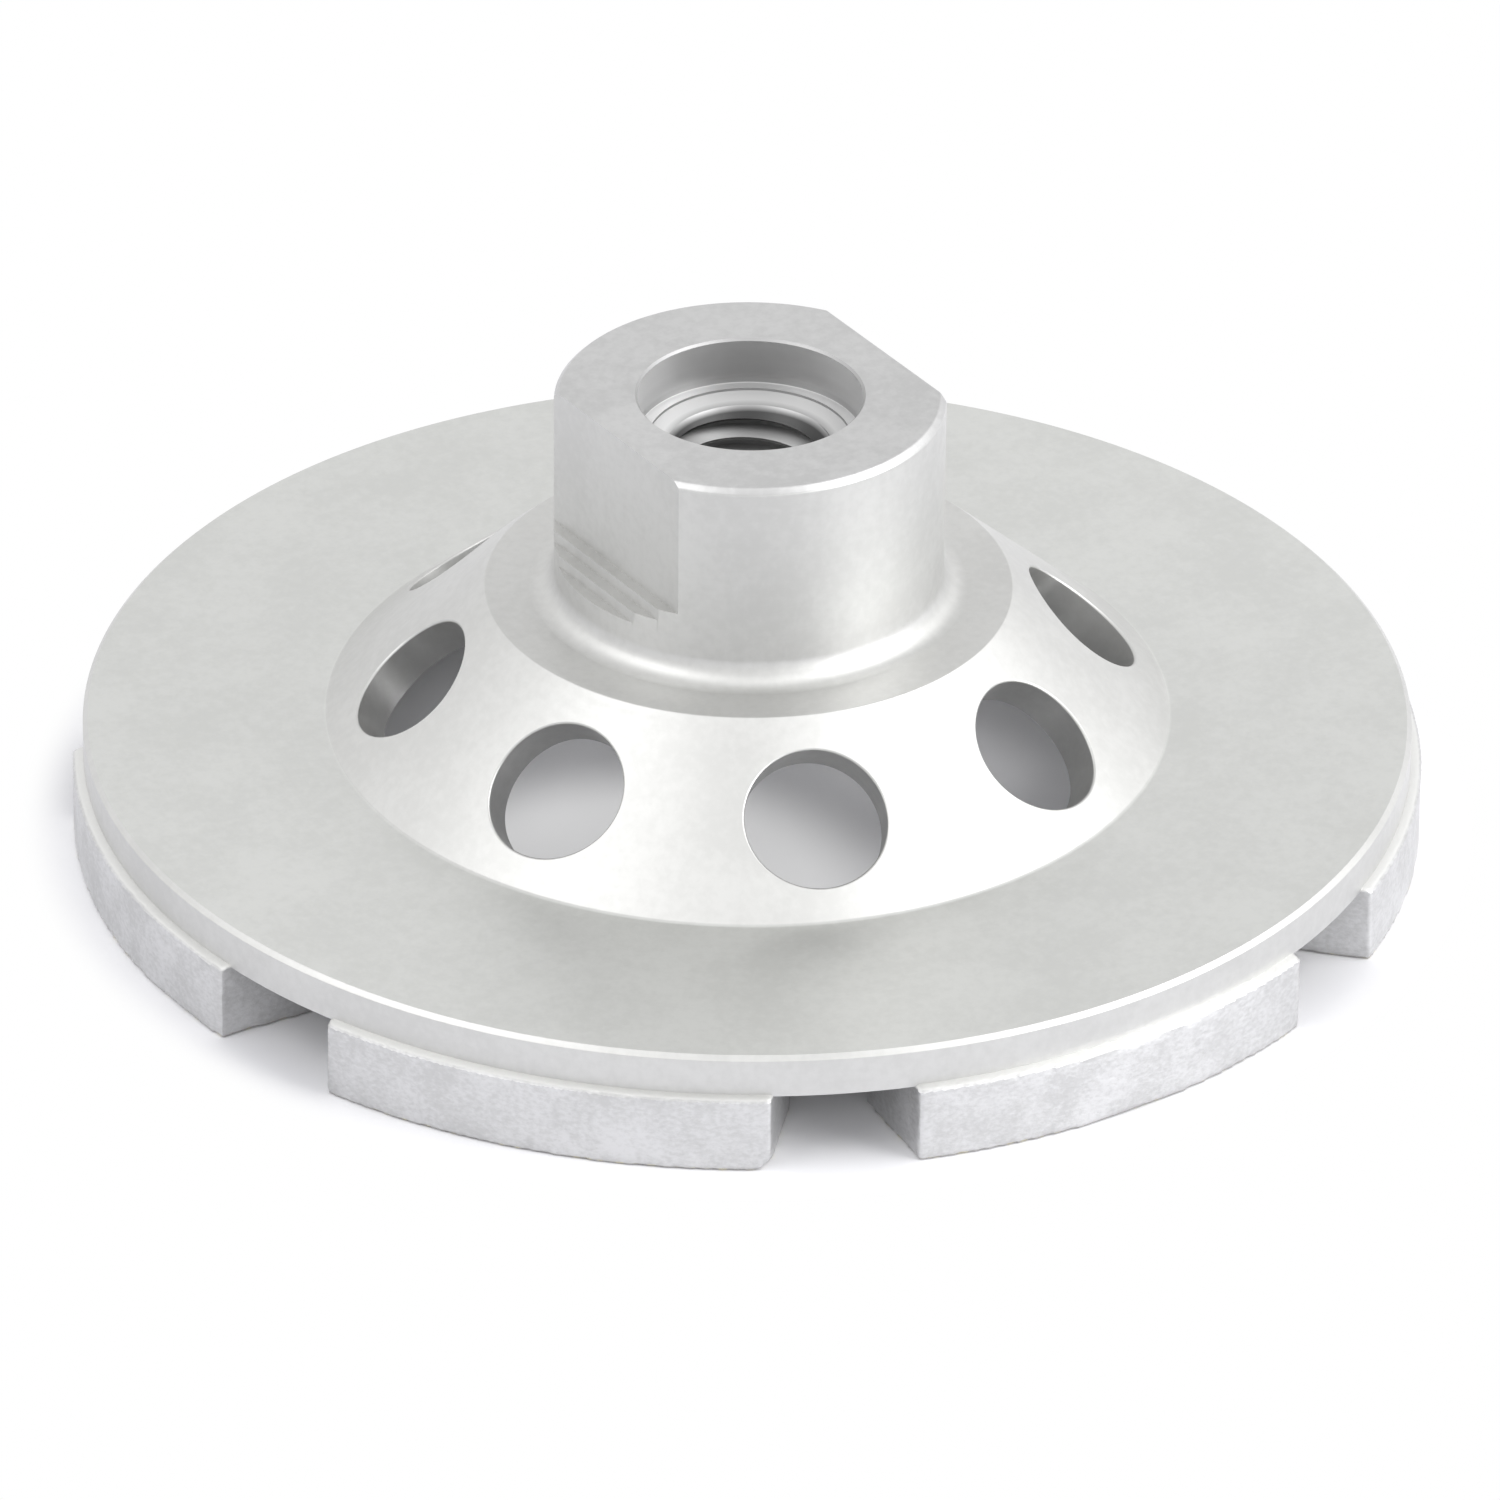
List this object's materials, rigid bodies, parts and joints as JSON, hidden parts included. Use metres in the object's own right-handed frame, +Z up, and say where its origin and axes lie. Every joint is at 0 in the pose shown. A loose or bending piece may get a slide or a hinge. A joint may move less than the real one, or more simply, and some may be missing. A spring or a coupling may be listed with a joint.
{
  "type": "cup grinding wheel",
  "caption": "Diamond cup grinding wheel: a drilled steel dome with a flat flange, a threaded hub with wrench flats, and abrasive segments under the rim.",
  "frame": {"origin": "on the spindle axis, in the plane of the segments' grinding faces", "axes": "+Z up the spindle axis from the grinding faces to the hub's top; the wrench flats face +X and -X"},
  "size_m": [0.115, 0.1146, 0.0409],
  "materials": {
    "turned_steel": "satin turned",
    "diamond_segment": "rough sintered metal, silver"
  },
  "bodies": {
    "root": {"wheel_body": "turned_steel", "diamond_segment_1": "diamond_segment", "diamond_segment_2": "diamond_segment", "diamond_segment_3": "diamond_segment", "diamond_segment_4": "diamond_segment", "diamond_segment_5": "diamond_segment", "diamond_segment_6": "diamond_segment", "diamond_segment_7": "diamond_segment"}
  },
  "joints": []
}
